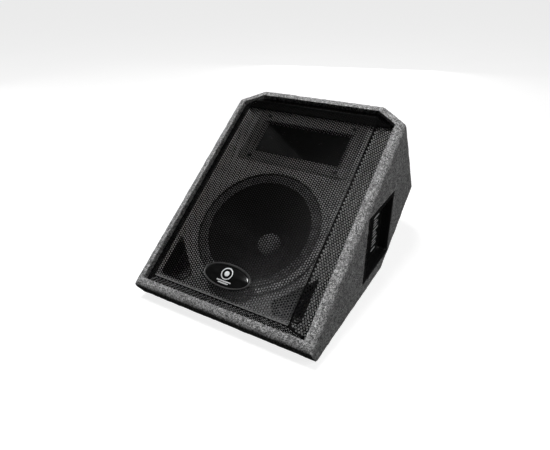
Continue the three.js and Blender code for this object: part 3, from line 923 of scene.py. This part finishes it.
def cap_profile():
    """A dome one millimetre thick, from its middle under the sheet back to its middle outside."""
    outer = []
    for k in range(17):
        turn = k / 16 * math.pi / 2
        outer.append((CAP_RADIUS * math.cos(turn), CAP_DEPTH - CAP_RISE * math.sin(turn)))
    inner = [(CAP_RADIUS - 1, CAP_DEPTH)] + [(r - 1, d + 1) for r, d in outer[1:-1]]
    top = CAP_DEPTH - CAP_RISE
    return [(0, top + 1)] + list(reversed(inner)) + outer[:-1] + [(0, top)]


turned("cone_paper", cone_profile(), PAPER, "paper", body=CONE, replaces=("woofer_cone",),
       segments=160, smooth_angle=60)
turned("cone_cap", cap_profile(), CAP_PAPER, "paper", closed=False, body=CONE,
       replaces=("dust_cap",), segments=96, smooth_angle=60)


# -------- horn

HORN_MOUTH = (116, 44.9, 1.2)       # half width, half height, corner radius
HORN_FLANGE = (141, 72.2)
HORN_SHEET = 2.8
# Depth, half width, half height and corner radius of the flare.
HORN_STATIONS = np.array([(10, *HORN_MOUTH), (30, 96, 38, 2), (60, 66, 27, 3.5),
                          (92, 32, 17, 7), (112, 13, 13, 12.9)])
# Depth in millimetres beyond which the horn takes the near-black plastic, painted shade inside the
# flare.
PAINTED_SHADE_DEPTH = 18


def horn():
    """A rectangular flare with a raised bead round its mouth, on a flat bolted flange."""
    def ring(depth, half_x, half_y, radius, grow=0):
        half_x, half_y = half_x + grow, half_y + grow
        corners = rectangle(-half_x, HORN_HEIGHT - half_y, half_x, HORN_HEIGHT + half_y)
        return at_depth(rounded(corners, radius + grow, 5), depth)

    def flare(depth):
        return [np.interp(depth, HORN_STATIONS[:, 0], HORN_STATIONS[:, k]) for k in (1, 2, 3)]

    # Round the flange, over the bead, down the flare and back up behind it.
    edge = [(13.7, 6.5, 1.5), (13.7, 8, 0), (11.2, 8, 0), (10.4, 7.6, 0.5), (10.0, 7, 1.4)]
    rings = [ring(depth, HORN_FLANGE[0] - less, HORN_FLANGE[1] - less, radius)
             for depth, radius, less in edge]
    bead = [(4.6, 10.0), (3.9, 9.0), (2.9, 8.3), (1.8, 8.1), (0.8, 8.5), (0.2, 9.2)]
    rings += [ring(depth, *HORN_MOUTH, grow) for grow, depth in bead]
    depths = [10 + 102 * k / 14 for k in range(15)]
    rings += [ring(depth, *flare(depth)) for depth in depths]
    rings += [ring(max(depth, 13.7), *flare(depth), HORN_SHEET) for depth in reversed(depths)]
    body = skin("horn_body", rings, HORN_SHADED_PLASTIC, "black_plastic", replaces=("horn_flare",),
                smooth_angle=35)

    # The flange and the start of the flare take the lighter plastic, a lit copy of the same moulding;
    # deeper in, the near-black plastic is painted shade inside the flare.
    body.data.materials.append(HORN_LIT_PLASTIC)
    to_baffle = TO_ROW.inverted()
    for face in body.data.polygons:
        if -(to_baffle @ face.center).z * 1000 < PAINTED_SHADE_DEPTH:
            face.material_index = 1


horn()


def screw(name, seat, radius, height, turned_by, recess=1.3, material=BLACK_STEEL, **options):
    """A pan head with a cross recess. seat is the middle of its underside, in the piece's frame."""
    segments = 32
    profile = [(radius, 0), (radius, height * 0.35), (radius * 0.86, height * 0.78),
               (radius * 0.62, height)]
    points = []
    for r, h in profile:
        points += at_depth(circle(r, segments=segments), -h)
    faces = grid_faces(len(profile), segments)
    faces.append(tuple(reversed(range(segments))))
    arm, half = radius * 0.56, radius * 0.13
    cross = []
    for k in range(4):
        turn = k * math.pi / 2
        for x, y in ((arm, -half), (arm, half), (half, half)):
            cross.append((x * math.cos(turn) - y * math.sin(turn),
                          x * math.sin(turn) + y * math.cos(turn)))
    start = len(points)
    top = start - segments
    rim = [p[:2] for p in points[top:]]
    points += at_depth(cross, -height)
    points += [(x * 0.7, y * 0.7, height - recess) for x, y in cross]
    for triangle in filled([rim, cross]):
        faces.append(tuple(top + k for k in triangle))
    for k in range(12):
        after = (k + 1) % 12
        faces.append((start + k, start + after, start + 12 + after, start + 12 + k))
    faces.append(tuple(start + 12 + k for k in range(12)))
    placed = [turned_by @ Vector(p) + Vector(seat) for p in points]
    new_piece(name, placed, faces, material, "steel", **options)


for place, x, y in (("lower_right", 111.5, -60.7), ("upper_right", 111.5, 60.7),
                    ("upper_left", -111.5, 60.7), ("lower_left", -111.5, -60.7)):
    screw(f"screw_horn_{place}", (x, HORN_HEIGHT + y, -9.7), 4.6, 2.5,
          Matrix.Rotation(0.4 + x, 3, "Z"), replaces=(f"horn_screw_{place}",), smooth_angle=35)


# -------- ports

PORT = [(171, 49.5), (171, 140), (101, 68), (114, 49.5)]


def port(side, name, node):
    """A duct with a rolled lip that stands a little out of the baffle."""
    def outline(grow):
        corners = rounded(inset(PORT, -grow), 9 + grow, 7)
        return corners if side > 0 else [(-x, y) for x, y in reversed(corners)]

    profile = [(2.5, 46), (2.5, 14.0), (2.4, 13.2), (1.9, 12.6), (1.2, 12.5), (0.5, 12.9),
               (0.1, 13.8), (0, 15), (0, 46)]
    rings = [at_depth(outline(grow), depth) for grow, depth in profile]
    skin(name, rings, PLASTIC, "black_plastic", replaces=(node,))


port(1, "port_right", "right_port_duct")
port(-1, "port_left", "left_port_duct")


# -------- badge

BADGE_HALF = (56.5, 27)
BADGE_SEAT = 14.3
BADGE_SEGMENTS = 128
FIELD_INSET = 5.2                   # where the field's dome starts, in from the badge's edge
FIELD_EDGE = 2.75                   # its height there, and how far it rises from it
FIELD_RISE = 1.7


def badge_oval(back, height):
    """The badge's outline, moved in from its edge, at a height over its seat."""
    outline = oval(BADGE_HALF[0] - back, BADGE_HALF[1] - back, 0, BADGE_HEIGHT, BADGE_SEGMENTS)
    return at_depth(outline, -(BADGE_SEAT + height))


def badge_field():
    """The glossy domed oval."""
    profile = [(4.6, 0.2), (4.6, 2.2), (FIELD_INSET, FIELD_EDGE)]
    for k in range(1, 11):
        t = k / 10
        profile.append((FIELD_INSET + 21.5 * t, FIELD_EDGE + FIELD_RISE * math.sin(t * math.pi / 2)))
    points = [p for back, height in profile for p in badge_oval(back, height)]
    faces = grid_faces(len(profile), BADGE_SEGMENTS)
    centre = len(points)
    last = centre - BADGE_SEGMENTS
    points.append((0, BADGE_HEIGHT, BADGE_SEAT + 4.5))
    for k in range(BADGE_SEGMENTS):
        faces.append((last + k, last + (k + 1) % BADGE_SEGMENTS, centre))
    faces.append(tuple(reversed(range(BADGE_SEGMENTS))))
    new_piece("badge_field", points, faces, GLOSS, "gloss_black", replaces=("badge",),
              smooth_angle=50)


def raised(name, *loops):
    """A flat mark standing out of the field, with an optional hole."""
    def surface(x, y):
        t = math.hypot(x / (BADGE_HALF[0] - FIELD_INSET), y / (BADGE_HALF[1] - FIELD_INSET))
        return BADGE_SEAT + FIELD_EDGE + FIELD_RISE * math.cos(min(1, t) * math.pi / 2) - 0.02

    points = []
    for level in (-0.2, 0.45):
        for loop in loops:
            points += [(x, BADGE_HEIGHT + y, surface(x, y) + level) for x, y in loop]
    total = len(points) // 2
    faces = []
    start = 0
    for size in [len(loop) for loop in loops]:
        for k in range(size):
            a, b = start + k, start + (k + 1) % size
            faces.append((a, b, total + b, total + a))
        start += size
    for triangle in filled(loops):
        faces.append(tuple(reversed(triangle)))
        faces.append(tuple(total + k for k in triangle))
    new_piece(name, points, faces, SILVER, "grey_plastic", smooth_angle=30)


def badge():
    """Field, rim and a plain motif: a ring round a dot over two short bars."""
    badge_field()
    rim = [(0, 0), (0, 1.6), (0.35, 2.6), (1.1, 3.5), (2.1, 3.9), (3.1, 3.6), (3.9, 2.9),
           (4.4, 2.0), (4.4, 0)]
    skin("badge_rim", [badge_oval(back, height) for back, height in rim], RIM_PLASTIC,
         "gloss_black")
    raised("badge_ring", circle(13.2, 0, 3.8), list(reversed(circle(11.0, 0, 3.8))))
    raised("badge_dot", circle(5.6, 0, 3.8))
    for number, (y, half) in enumerate(((-12.6, 17.0), (-16.6, 12.5))):
        raised(f"badge_bar_{number}", rounded(rectangle(-half, y - 1.2, half, y + 1.2), 1.1, 4))


badge()


# -------- connector dish

DISH_HALF, DISH_OPENING = 82.5, 70.5
PLATE_HALF, PLATE_FRONT, PLATE_BACK = 70.2, 20.2, 21.7
SOCKET_Y = -32
SOCKET_Z = (26, -26)
DISH_SCREW_REACH = 77.5
TO_SIDE = Matrix.Rotation(math.pi / 2, 3, "Y")


def on_side(outline, depth):
    """Points (y, z) from the dish's middle, at a depth behind the cabinet's right side."""
    return [(HALF_WIDTH - depth, DISH_Y + y, DISH_Z + z) for y, z in outline]


def rounded_box(half_y, half_z, radius, y=0, z=0, steps=6):
    return rounded(rectangle(y - half_y, z - half_z, y + half_y, z + half_z), radius, steps)


def dish():
    """The moulded tray: half size, corner radius and depth of each ring from flange to floor."""
    half, opening = DISH_HALF, DISH_OPENING
    profile = [
        (half - 9.5, 4, 2.6), (half, 4, 2.6), (half, 4, 1.1), (half - 0.4, 3.8, 0.45),
        (half - 1.2, 3.4, 0.1), (half - 2.2, 3, 0.0), (opening + 3.2, 6.5, 0.0),
        (opening + 2.2, 5.8, 0.12), (opening + 1.4, 5.2, 0.5), (opening + 1.0, 5.0, 1.1),
        (opening + 0.2, 4.6, 8), (opening - 0.4, 4, 18.6), (opening - 1.0, 3.4, 19.6),
        (opening - 2.0, 2.6, 19.9), (opening - 8, 2, 20.0), (opening - 8, 2, 20.15),
        (opening, 3.5, 20.15), (opening, 3.5, 22), (opening - 2, 3, 22), (opening - 2, 3, 24),
        (opening + 2, 4, 24),
    ]
    skin("dish_frame", [on_side(rounded_box(h, h, r), d) for h, r, d in profile], DISH_PLASTIC,
         "black_plastic", replaces=("connector_dish",), row_frame=True, smooth_angle=40)


def plate_with_holes():
    """The connector plate, its edge chamfered, with a round hole behind each socket."""
    outer = rounded_box(PLATE_HALF, PLATE_HALF, 3, steps=5)
    small = rounded_box(PLATE_HALF - 0.4, PLATE_HALF - 0.4, 2.6, steps=5)
    holes = [oval(13.2, -13.2, SOCKET_Y, z, 40) for z in SOCKET_Z]
    points, faces = [], []

    def loop(outline, depth):
        start = len(points)
        points.extend(on_side(outline, depth))
        return list(range(start, len(points)))

    front = [loop(outline, PLATE_FRONT) for outline in [small] + holes]
    edge = loop(outer, PLATE_FRONT + 0.4)
    back = [loop(outline, PLATE_BACK) for outline in [outer] + holes]
    for a, b in [(front[0], edge), (edge, back[0])] + list(zip(front[1:], back[1:])):
        for k in range(len(a)):
            after = (k + 1) % len(a)
            faces.append((a[k], a[after], b[after], b[k]))
    for loops, outline in ((front, small), (back, outer)):
        numbering = [k for one in loops for k in one]
        for triangle in filled([outline] + holes):
            faces.append(tuple(numbering[k] for k in triangle))
    new_piece("dish_plate", points, faces, DISH_COAT, "black_metal", replaces=("connector_plate",),
              row_frame=True, smooth_angle=30)


def socket(name, node, z):
    """A twist-lock loudspeaker socket: flat bezel, collar, bore, centre post, four contacts."""
    y = SOCKET_Y
    bezel = [(13.4, 15.4, 2.4, -0.35), (14, 16, 3, -0.35), (14, 16, 3, -1.5),
             (13.6, 15.6, 2.7, -2.0), (13.0, 15.0, 2.3, -2.3)]
    rings = [on_side(rounded_box(half_y, half_z, radius, y, z), PLATE_FRONT + back)
             for half_y, half_z, radius, back in bezel]
    turns = [math.atan2(b, a) for a, b in rounded_box(*bezel[0][:3])]
    bore = [(12.2, -2.3), (12.0, -3.2), (11.5, -3.6), (11.0, -3.4), (10.7, -2.8), (10.6, 15.5),
            (12.8, 15.5), (12.8, -0.35)]
    rings += [on_side([(y + radius * math.cos(turn), z + radius * math.sin(turn)) for turn in turns],
                      PLATE_FRONT + back) for radius, back in bore]
    skin(name, rings, SOCKET_PLASTIC, "black_plastic", replaces=(node,), row_frame=True,
         smooth_angle=35)
    post = [(10.5, 37.6), (10.5, 36.4), (4.5, 36.4), (4.5, 19.0), (4.1, 18.5), (3.2, 18.2)]
    skin(f"{name}_post", [on_side(circle(radius, y, z), depth) for radius, depth in post],
         SOCKET_PLASTIC, "black_plastic", closed=False, row_frame=True, smooth_angle=35)
    for number, turn in enumerate((0.6, 2.2, 3.75, 5.3)):
        outline = circle(1.1, y + 6.3 * math.cos(turn), z + 6.3 * math.sin(turn), 12)
        skin(f"{name}_contact_{number}", [on_side(outline, depth) for depth in (36.3, 27)], BRASS,
             "steel", closed=False, row_frame=True)
    for number, (a, b) in enumerate(((-10.6, 12.6), (10.6, -12.6))):
        screw(f"{name}_screw_{number}", on_side([(y + a, z + b)], PLATE_FRONT - 2.35)[0], 1.9, 0.9,
              TO_SIDE, 0.6, row_frame=True)


def printed_bars():
    """Plain white bars where a real plate carries its wording: middle height, width, height."""
    rows = [(58, 30, 5.0), (50, 22, 3.0), (44, 26, 3.0), (34, 34, 3.6), (26, 18, 2.6), (19, 30, 2.6),
            (12, 24, 2.6), (2, 34, 3.6), (-6, 20, 2.6), (-13, 28, 2.6), (-24, 32, 3.6),
            (-32, 24, 2.6), (-39, 30, 2.6), (-52, 26, 4.6)]
    for number, (z, width, height) in enumerate(rows):
        outline = rounded(rectangle(14, z - height / 2, 14 + width, z + height / 2), height * 0.3, 3)
        rings = [on_side(outline, PLATE_FRONT - lift) for lift in (0.02, 0.14)]
        skin(f"print_bar_{number:02d}", rings, WHITE_PRINT, "grey_plastic", closed=False,
             row_frame=True)


dish()
plate_with_holes()
socket("socket_in", "input_socket", SOCKET_Z[0])
socket("socket_link", "link_socket", SOCKET_Z[1])
printed_bars()
for place, y, z in (("lower_front", -1, -1), ("upper_front", -1, 1),
                    ("upper_rear", 1, 1), ("lower_rear", 1, -1)):
    seat = on_side([(y * DISH_SCREW_REACH, z * DISH_SCREW_REACH)], 1.0)[0]
    screw(f"screw_dish_{place}", seat, 3.6, 0.9, TO_SIDE, 0.8, replaces=(f"dish_screw_{place}",),
          row_frame=True, smooth_angle=35)


# -------- feet

def foot(name, node):
    """A rubber foot: ribbed flank, rounded tread and a fixing screw in its well."""
    low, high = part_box(node)
    x, y = (low.x + high.x) * 500, (low.y + high.y) * 500
    top = high.z * 1000
    profile = [(3.6, top), (17.6, top), (18, top - 0.5), (17.6, top - 1.6), (17.2, top - 1.9),
               (17.4, top - 2.4), (17.0, top - 3.4), (16.5, 1.0), (15.8, 0.3), (14.6, 0.0),
               (7.2, 0.0), (6.6, 0.3), (6.2, 1.0), (6.0, 3.2), (3.6, 3.4)]
    rings = [at_depth(circle(r, x, y, 64), -z) for r, z in profile]
    skin(name, rings, RUBBER, "rubber", replaces=(node,), row_frame=True)
    screw(f"{name}_screw", (x, y, 3.3), 5.2, 1.8, Matrix.Rotation(math.pi, 3, "X"), 1.1, STEEL,
          row_frame=True)


for node in ("foot_front_right", "foot_front_left", "foot_rear_right", "foot_rear_left"):
    foot(node.replace("foot", "rubber_foot"), node)


# -------- nodes kept as they are

KEPT = {
    "front_baffle": PAINT,
    "foam_strip": FOAM,
    "right_batten": WOOD, "left_batten": WOOD, "top_batten": WOOD, "bottom_batten": WOOD,
    "voice_coil_former": GREY_PLASTIC, "voice_coil_winding": WINDING,
    "woofer_front_plate": STEEL, "woofer_magnet": FERRITE, "woofer_back_plate": STEEL,
    "woofer_terminal": PLASTIC,
    "hf_throat_plate": COAT, "hf_magnet": FERRITE, "hf_back_plate": STEEL,
    "hf_diaphragm": GREY_PLASTIC, "hf_cover": PLASTIC,
    "crossover_board": BOARD, "woofer_inductor": COIL_WINDING, "hf_inductor": COIL_WINDING,
    "large_capacitor": GREY_PLASTIC, "small_capacitor": GREY_PLASTIC,
    "crossover_resistor": GREY_PLASTIC,
}
WELD_REACH, SOFT_EDGE = 0.00002, 0.0004     # metres
for node, material in KEPT.items():
    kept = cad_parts[node]
    kept.data.materials.clear()
    kept.data.materials.append(material)
    weld = kept.modifiers.new("weld", "WELD")
    weld.merge_threshold = WELD_REACH
    bevel = kept.modifiers.new("edges", "BEVEL")
    bevel.width = SOFT_EDGE
    bevel.segments = 2
    bevel.limit_method = "ANGLE"
    bevel.angle_limit = math.radians(35)


# -------- floor and lights

def floor_material():
    g = Graph("floor")
    g.colour(g.ramp(g.noise(2.5, 3, 0.5), (0.3, 0.36), (0.7, 0.4)))
    g.fixed(Roughness=0.9, Emission_Strength=0.82)
    g.shader.inputs["Emission Color"].default_value = (1, 1, 1, 1)
    return g.material


def stage_piece(name, points, faces, material):
    """A pale surface round the set, seen by the camera but neither lighting nor reflected."""
    mesh = bpy.data.meshes.new(name)
    mesh.from_pydata(points, [], faces)
    mesh.materials.append(material)
    piece = add_object(name, mesh)
    piece.visible_diffuse = False
    piece.visible_glossy = False


# In metres. The drum stands just inside the floor's edge, so that no level view looks past it.
FLOOR_HALF, DRUM_RADIUS, DRUM_TOP = 30, 29, 30
pale = floor_material()
corners = rectangle(-FLOOR_HALF, -FLOOR_HALF, FLOOR_HALF, FLOOR_HALF)
stage_piece("floor", at_depth(corners, 0), [(0, 1, 2, 3)], pale)
drum = circle(DRUM_RADIUS, segments=64)
stage_piece("backdrop", at_depth(drum, 0.1) + at_depth(drum, -DRUM_TOP),
            grid_faces(2, 64) + [tuple(range(64, 128))], pale)


def area_light(name, direction, distance, size, power):
    data = bpy.data.lights.new(name, "AREA")
    data.shape = "DISK"
    data.size = size
    data.energy = power
    light = add_object(name, data)
    way = Vector(direction).normalized()
    light.location = Vector((0, 0, 0.2)) + way * distance
    light.rotation_mode = "QUATERNION"
    light.rotation_quaternion = way.to_track_quat("Z", "Y")
    return light


area_light("key", (-0.12, -0.25, 0.96), 3.0, 0.8, 70)
area_light("right_softbox", (0.8, -0.08, 0.62), 2.6, 1.5, 19)
area_light("back_fill", (-0.3, 0.9, 0.12), 2.6, 1.6, 9)
area_light("left_fill", (-0.93, 0.1, 0.3), 2.6, 1.6, 5)
sheen = area_light("grille_sheen", (-0.33, -0.5, 0.8), 3.0, 0.4, 42)
sheen.visible_diffuse = False
sheen_receivers = bpy.data.collections.new("sheen_receivers")
sheen_receivers.objects.link(bpy.data.objects["grille_sheet"])
sheen.light_linking.receiver_collection = sheen_receivers

world = bpy.data.worlds.new("studio")
bpy.context.scene.world = world
world.use_nodes = True
world.node_tree.nodes["Background"].inputs["Color"].default_value = (1, 1, 1, 1)
world.node_tree.nodes["Background"].inputs["Strength"].default_value = 0.015
bpy.context.scene.view_settings.view_transform = "Standard"
